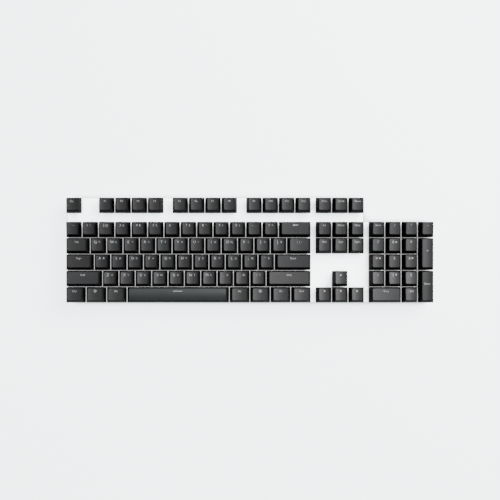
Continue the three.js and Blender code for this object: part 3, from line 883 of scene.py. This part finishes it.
def add_tube(shape, route, radius, sides=8):
    """A closed tube along a level route of (x, y, z) points."""
    rings = []
    for i, point in enumerate(route):
        before, after = Vector(route[max(i - 1, 0)]), Vector(route[min(i + 1, len(route) - 1)])
        ahead = (after - before).normalized()
        across = ahead.cross(Vector((0, 0, 1))).normalized()
        up = Vector((0, 0, 1))
        turns = [2 * math.pi * k / sides for k in range(sides)]
        spokes = [radius * (across * math.cos(a) + up * math.sin(a)) for a in turns]
        rings.append(shape.add([tuple(Vector(point) + spoke) for spoke in spokes]))
    shape.capped(rings)


WIRE_RADIUS = 0.6
WIRE_BEND = 1.6
WIRE_FRONT = 8.45  # from the key's middle to the wire's long run
WIRE_SIDE = 4.2  # from a stabiliser stem out to the wire's arm
WIRE_ARM = 4.0


def add_wire(shape, key):
    """The wire that keeps a wide key level: across in front of its switch and back at both ends."""
    places = key.stabilisers()
    if not places:
        return
    z = PLATE_TOP + WIRE_RADIUS + 0.1
    axis = 1 if key.is_tall else 0
    half = (places[1][axis] - places[0][axis]) / 2 + WIRE_SIDE
    route = [(-half, WIRE_ARM - WIRE_FRONT)]
    for k in range(5):
        a = math.pi / 2 * k / 4
        x = -half + WIRE_BEND * (1 - math.cos(a))
        route.append((x, -WIRE_FRONT + WIRE_BEND * (1 - math.sin(a))))
    route += [(-x, y) for x, y in reversed(route)]
    turned = [(-y, x) if key.is_tall else (x, y) for x, y in route]
    add_tube(shape, [(key.x + x, key.y + y, z) for x, y in turned], WIRE_RADIUS)


def add_socket():
    """The cable socket: a folded steel shell with rounded ends, and the tongue inside."""
    low, high = (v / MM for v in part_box("cable_socket"))
    x, z = (low.x + high.x) / 2, (low.z + high.z) / 2
    hx, hz, wall = (high.x - low.x) / 2, (high.z - low.z) / 2, 0.35
    shape = Shape()

    def section(inset, y):
        outline = rounded_outline(x, z, hx - inset, hz - inset, hz - inset - 0.02, 12, 8)
        return shape.add([(px, y, pz) for px, pz in outline])

    rings = [section(0, high.y), section(0, low.y)]
    shape.skin(rings)
    shape.face(*rings[-1])
    mouth = [section(wall, low.y + 1), section(wall, high.y)]
    shape.skin([*mouth, rings[0]])
    shape.face(*reversed(mouth[0]))
    shape.piece("socket_shell", "steel", "base", ["cable_socket"], smooth=False)
    tongue = Shape()
    y0, y1 = low.y + 0.9, high.y - 1
    rounded_block(tongue, x, (y0 + y1) / 2, 2 * hx - 2.4, y1 - y0, z - 0.35, z + 0.35, 0.5, 0.1)
    tongue.piece("socket_tongue", "board", "base")


def add_screw(name):
    """A pan-headed screw seen from below, with a cross recess in its head and a thread."""
    low, high = (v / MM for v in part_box(name))
    x, y, radius = (low.x + high.x) / 2, (low.y + high.y) / 2, (high.x - low.x) / 2
    shape, turns = Shape(), 12
    corners = [cross(x, y, low.z + deep, 1.5, 0.64) for deep in (0.6, 0)]
    levels = [(radius * 0.85, 0), (radius, 0.25), (radius, 0.95), (1.1, 1)]
    for k in range(turns):
        z = 1.4 + (high.z - low.z - 1.7) * k / turns
        levels += [(0.9, z), (1.1, z + 0.25)]
    levels.append((0.7, high.z - low.z))
    corners += [circle(x, y, low.z + z, r) for r, z in levels]
    shape.capped([shape.add(ring) for ring in corners])
    shape.piece(f"{name}_turned", "steel", "base", [name], smooth=False)


def add_board_parts():
    """The controller and the rows of diodes on the circuit board's upper side."""
    low, high = (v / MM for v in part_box("circuit_board"))
    chips = Shape()
    chip_y = (ALL_KEYS["key_escape"][0].y + ALL_KEYS["keys_grave_to_6"][0].y) / 2
    rounded_block(chips, -40, chip_y, 9, 9, high.z - 0.01, high.z + 1.4, 0.4, 0.1)
    for body, keys in ALL_KEYS.items():
        side = -1 if BLOCKS[body][0] in ("function", "number") else 1
        for key in keys:
            y = key.y + side * 7.7
            rounded_block(chips, key.x, y, 3.2, 1.6, high.z - 0.01, high.z + 1.0, 0.2, 0.1)
    chips.piece("board_parts", "board", "base")


wires = Shape()
for body, keys in ALL_KEYS.items():
    for key in keys:
        add_wire(wires, key)
wires.piece("stabiliser_wires", "steel", "base")
add_deck()
add_socket()
add_board_parts()
add_softened("base_tray", "tray", width=1.2, chosen=on_outline, segments=4)
add_softened("circuit_board", "board", width=0.1)
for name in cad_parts:
    if name.startswith("foot"):
        add_softened(name, "rubber", width=0.4)
    if name.startswith("screw"):
        add_screw(name)
    if name.startswith("tilt"):
        add_softened(name, "tray", name, 0.3)


# --- Floor, light and camera, in metres -----------------------------------------------------
FLOOR_REACH = 30
CAMERA_PLACE, CAMERA_HEIGHT = (0.00025, 0.00022), 0.809  # the height is over the caps' skirts


def stage():
    mesh = bpy.data.meshes.new("floor")
    corners = [(x * FLOOR_REACH, y * FLOOR_REACH, 0) for x, y in ((-1, -1), (1, -1), (1, 1), (-1, 1))]
    mesh.from_pydata(corners, [], [(0, 1, 2, 3)])
    floor = bpy.data.objects.new("floor", mesh)
    bpy.context.scene.collection.objects.link(floor)
    mesh.materials.append(floor_material())

    world = bpy.data.worlds.new("studio")
    world.use_nodes = True
    background = world.node_tree.nodes["Background"]
    background.inputs["Color"].default_value = (0.95, 0.975, 1, 1)
    background.inputs["Strength"].default_value = 0.39
    bpy.context.scene.world = world

    light = bpy.data.lights.new("softbox_right_rear", "AREA")
    light.shape, light.size, light.size_y = "RECTANGLE", 1.3, 1.3
    light.energy = 151
    softbox = bpy.data.objects.new(light.name, light)
    softbox.location = (0.92, 0.8, 1.2)
    softbox.rotation_euler = (-softbox.location).to_track_quat("-Z", "Y").to_euler()
    bpy.context.scene.collection.objects.link(softbox)

    camera = bpy.data.objects.new("camera", bpy.data.cameras.new("camera"))
    camera.data.lens, camera.data.sensor_width = 50, 36
    camera.location = (*CAMERA_PLACE, SKIRT * MM + CAMERA_HEIGHT)
    bpy.context.scene.collection.objects.link(camera)
    bpy.context.scene.camera = camera


stage()
